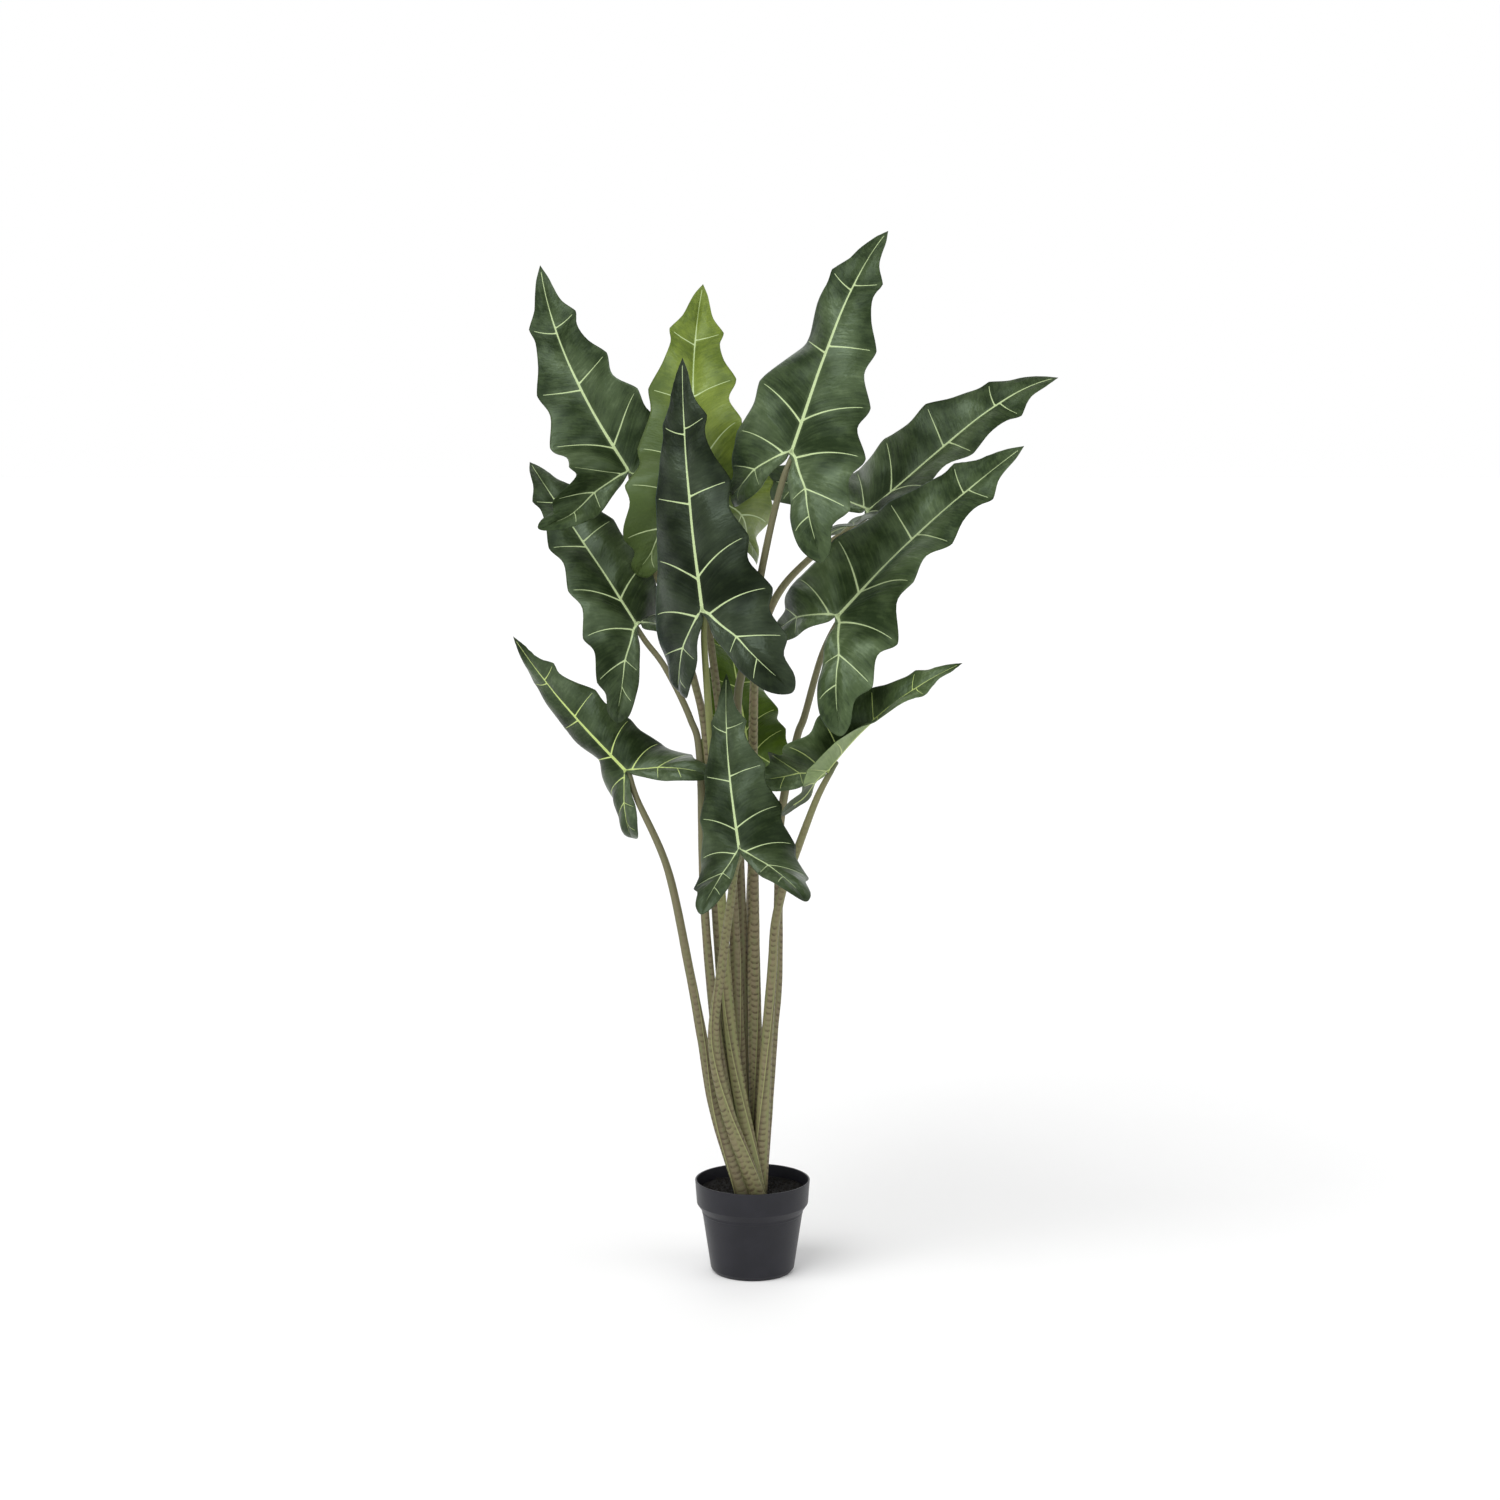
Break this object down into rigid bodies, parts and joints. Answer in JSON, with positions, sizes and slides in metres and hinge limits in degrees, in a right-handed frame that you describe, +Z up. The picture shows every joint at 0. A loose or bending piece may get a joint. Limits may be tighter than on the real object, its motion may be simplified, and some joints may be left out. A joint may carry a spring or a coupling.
{
  "type": "potted alocasia",
  "caption": "Tall arrow-leaved aroid in a round nursery pot, waved dark leaves with pale ribs on banded upright stalks.",
  "frame": {"origin": "centre of the pot's flat underside, on the surface it stands on", "axes": "+Z up, -Y towards the front of the plant, +X to the right seen from the front"},
  "size_m": [0.7927, 0.5399, 1.4856],
  "materials": {
    "leaf": "satin dark green with pale raised ribs",
    "young_leaf": "satin yellow green with pale raised ribs",
    "fresh_leaf": "satin bright green with pale raised ribs",
    "petiole": "satin olive green with dark brown bands",
    "soil": "matte dark peat",
    "pot": "satin black moulded plastic"
  },
  "bodies": {
    "root": {"leaf_01": "leaf", "leaf_02": "young_leaf", "leaf_03": "leaf", "leaf_04": "leaf", "leaf_05": "leaf", "leaf_06": "leaf", "leaf_07": "leaf", "leaf_08": "leaf", "leaf_09": "leaf", "leaf_10": "leaf", "leaf_11": "fresh_leaf", "petiole_01": "petiole", "petiole_02": "petiole", "petiole_03": "petiole", "petiole_04": "petiole", "petiole_05": "petiole", "petiole_06": "petiole", "petiole_07": "petiole", "petiole_08": "petiole", "petiole_09": "petiole", "petiole_10": "petiole", "petiole_11": "petiole", "soil": "soil", "pot": "pot"}
  },
  "joints": []
}
